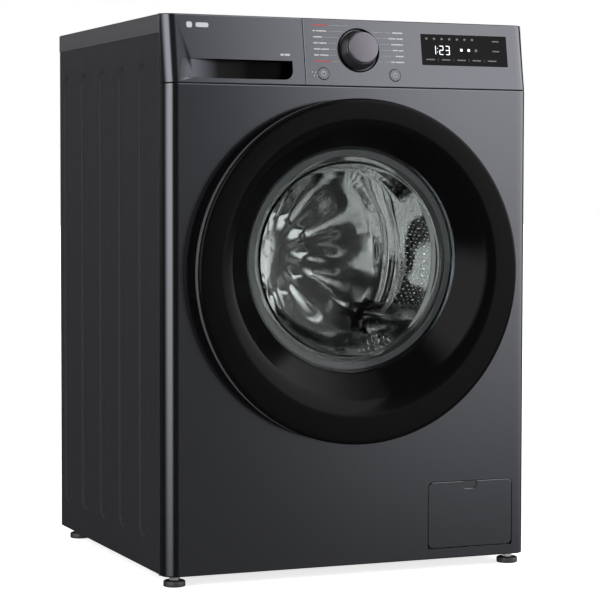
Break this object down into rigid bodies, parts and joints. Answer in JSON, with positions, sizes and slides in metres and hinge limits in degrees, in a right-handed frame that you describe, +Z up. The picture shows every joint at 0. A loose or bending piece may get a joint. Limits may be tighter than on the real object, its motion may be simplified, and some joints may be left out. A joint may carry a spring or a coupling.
{
  "type": "front load washing machine",
  "caption": "Free-standing front load washing machine with a round glass door, detergent drawer, programme knob, suspended tub and turning drum.",
  "frame": {"origin": "on the floor, in the middle of the footprint including the door's rim", "axes": "+Z up, -Y out of the front, +X to the right when facing the front"},
  "size_m": [0.6, 0.6054, 0.85],
  "materials": {
    "enamel_side": "satin dark graphite paint",
    "enamel_front": "satin metallic graphite paint",
    "fascia": "satin metallic graphite plastic",
    "worktop": "fine grained dark laminate",
    "galvanised": "zinc coated sheet",
    "black_gloss": "piano black",
    "black_matte": "moulded black",
    "display": "smoked window",
    "knob": "dark chrome look",
    "chrome_trim": "dark plated trim",
    "grey_plastic": "light grey moulding",
    "white_plastic": "white moulding",
    "blue_plastic": "blue moulding",
    "glass": "clear pressed glass",
    "steel": "plain steel",
    "stainless": "bright stainless",
    "aluminium": "die cast",
    "rubber_grey": "grey rubber",
    "rubber_black": "black rubber",
    "tub_plastic": "filled polypropylene",
    "concrete": "rough cast block",
    "winding": "wound laminations",
    "board": "green circuit board"
  },
  "bodies": {
    "cabinet": {"side_panel_left": "enamel_side", "side_panel_right": "enamel_side", "rear_panel": "enamel_side", "rear_cover": "galvanised", "screws": "steel", "transit_caps": "black_matte", "mains_gland": "black_matte", "front_panel": "enamel_front", "top_plate": "worktop", "base_tray": "galvanised", "control_panel": "fascia", "display_window": "display", "control_board": "board", "knob_ring": "chrome_trim", "dispenser_housing": "white_plastic", "inlet_valve": "white_plastic", "fill_hose": "rubber_black", "hinge_bracket": "steel", "door_lock": "white_plastic", "door_seal": "rubber_grey", "suspension_springs": "steel", "drain_pump": "black_matte", "sump_hose": "rubber_black", "drain_hose": "grey_plastic"},
    "tub": {"tub_front": "tub_plastic", "tub_rear": "tub_plastic", "heater": "stainless", "counterweight_upper": "concrete", "counterweight_lower": "concrete", "bearings": "steel", "shaft_seal": "rubber_black", "stator": "winding"},
    "drum": {"drum_shell": "stainless", "drum_front": "stainless", "drum_lifters": "white_plastic", "drum_spider": "aluminium", "drum_shaft": "steel", "rotor": "steel"},
    "door": {"door_outer_ring": "black_gloss", "door_back_ring": "black_matte", "door_glass": "glass", "hinge_block": "aluminium", "hinge_pin": "steel"},
    "latch": {"latch_hook": "aluminium"},
    "knob": {"program_knob": "knob"},
    "power": {"power_button": "fascia"},
    "start": {"start_button": "fascia"},
    "drawer": {"drawer_front": "fascia", "drawer_tray": "white_plastic", "softener_insert": "blue_plastic"},
    "flap": {"filter_flap": "fascia"},
    "filter": {"pump_filter": "white_plastic"},
    "foot_fl": {"foot_front_left": "rubber_black"},
    "foot_fr": {"foot_front_right": "rubber_black"},
    "foot_rl": {"foot_rear_left": "rubber_black"},
    "foot_rr": {"foot_rear_right": "rubber_black"},
    "damper_low_left": {"damper_cylinder_left": "white_plastic"},
    "damper_low_right": {"damper_cylinder_right": "white_plastic"},
    "damper_high_left": {"damper_rod_left": "white_plastic"},
    "damper_high_right": {"damper_rod_right": "white_plastic"}
  },
  "joints": [
    {"name": "tub_float", "type": "slide", "parent": "cabinet", "child": "tub", "axis": [0, 0, 1], "range_m": [-0.008, 0.008], "stiffness_N_per_m": 16000, "springref_m": 0.01894, "deforming": ["suspension_springs", "door_seal", "fill_hose", "sump_hose"]},
    {"name": "drum_spin", "type": "hinge", "parent": "tub", "child": "drum", "pos_m": [0, 0.13575, 0.485], "axis": [0, 1, 0], "continuous": true},
    {"name": "door_hinge", "type": "hinge", "parent": "cabinet", "child": "door", "pos_m": [-0.248, -0.28495, 0.4672], "axis": [0, 0, -1], "range_deg": [0, 105]},
    {"name": "latch_pivot", "type": "hinge", "parent": "door", "child": "latch", "pos_m": [0.214, -0.28025, 0.485], "axis": [0, 0, 1], "range_deg": [0, 8], "stiffness_Nm_per_rad": 0.4, "springref_deg": -5.73},
    {"name": "knob_turn", "type": "hinge", "parent": "cabinet", "child": "knob", "pos_m": [0.012, -0.25463, 0.803], "axis": [0, -0.9854, 0.1705], "continuous": true},
    {"name": "power_press", "type": "slide", "parent": "cabinet", "child": "power", "axis": [0, 0.9854, -0.1705], "range_m": [0, 0.0015], "stiffness_N_per_m": 900, "springref_m": -0.0005},
    {"name": "start_press", "type": "slide", "parent": "cabinet", "child": "start", "axis": [0, 0.9854, -0.1705], "range_m": [0, 0.0015], "stiffness_N_per_m": 900, "springref_m": -0.0005},
    {"name": "drawer_slide", "type": "slide", "parent": "cabinet", "child": "drawer", "axis": [0, -1, 0], "range_m": [0, 0.24]},
    {"name": "flap_hinge", "type": "hinge", "parent": "cabinet", "child": "flap", "pos_m": [0.201, -0.26125, 0.038], "axis": [1, 0, 0], "range_deg": [0, 92]},
    {"name": "filter_turn", "type": "hinge", "parent": "cabinet", "child": "filter", "pos_m": [0.201, -0.24425, 0.085], "axis": [0, 1, 0], "range_deg": [-180, 0]},
    {"name": "foot_fl_screw", "type": "slide", "parent": "cabinet", "child": "foot_fl", "axis": [0, 0, -1], "range_m": [0, 0.015]},
    {"name": "foot_fr_screw", "type": "slide", "parent": "cabinet", "child": "foot_fr", "axis": [0, 0, -1], "range_m": [0, 0.015]},
    {"name": "foot_rl_screw", "type": "slide", "parent": "cabinet", "child": "foot_rl", "axis": [0, 0, -1], "range_m": [0, 0.015]},
    {"name": "foot_rr_screw", "type": "slide", "parent": "cabinet", "child": "foot_rr", "axis": [0, 0, -1], "range_m": [0, 0.015]},
    {"name": "damper_low_left_pivot", "type": "hinge", "parent": "cabinet", "child": "damper_low_left", "pos_m": [-0.235, -0.01425, 0.05], "axis": [0, 1, 0], "range_deg": [-1.2, 1.2]},
    {"name": "damper_high_left_pivot", "type": "hinge", "parent": "tub", "child": "damper_high_left", "pos_m": [-0.165, -0.01425, 0.272], "axis": [0, 1, 0], "range_deg": [-1.2, 1.2]},
    {"name": "damper_low_right_pivot", "type": "hinge", "parent": "cabinet", "child": "damper_low_right", "pos_m": [0.235, -0.01425, 0.05], "axis": [0, 1, 0], "range_deg": [-1.2, 1.2]},
    {"name": "damper_high_right_pivot", "type": "hinge", "parent": "tub", "child": "damper_high_right", "pos_m": [0.165, -0.01425, 0.272], "axis": [0, 1, 0], "range_deg": [-1.2, 1.2]}
  ],
  "couplings": [
    {"joint": "damper_low_left_pivot", "follows": "tub_float", "rad_per_m": -1.2919},
    {"joint": "damper_high_left_pivot", "follows": "tub_float", "rad_per_m": -1.2919},
    {"joint": "damper_low_right_pivot", "follows": "tub_float", "rad_per_m": 1.2919},
    {"joint": "damper_high_right_pivot", "follows": "tub_float", "rad_per_m": 1.2919}
  ]
}
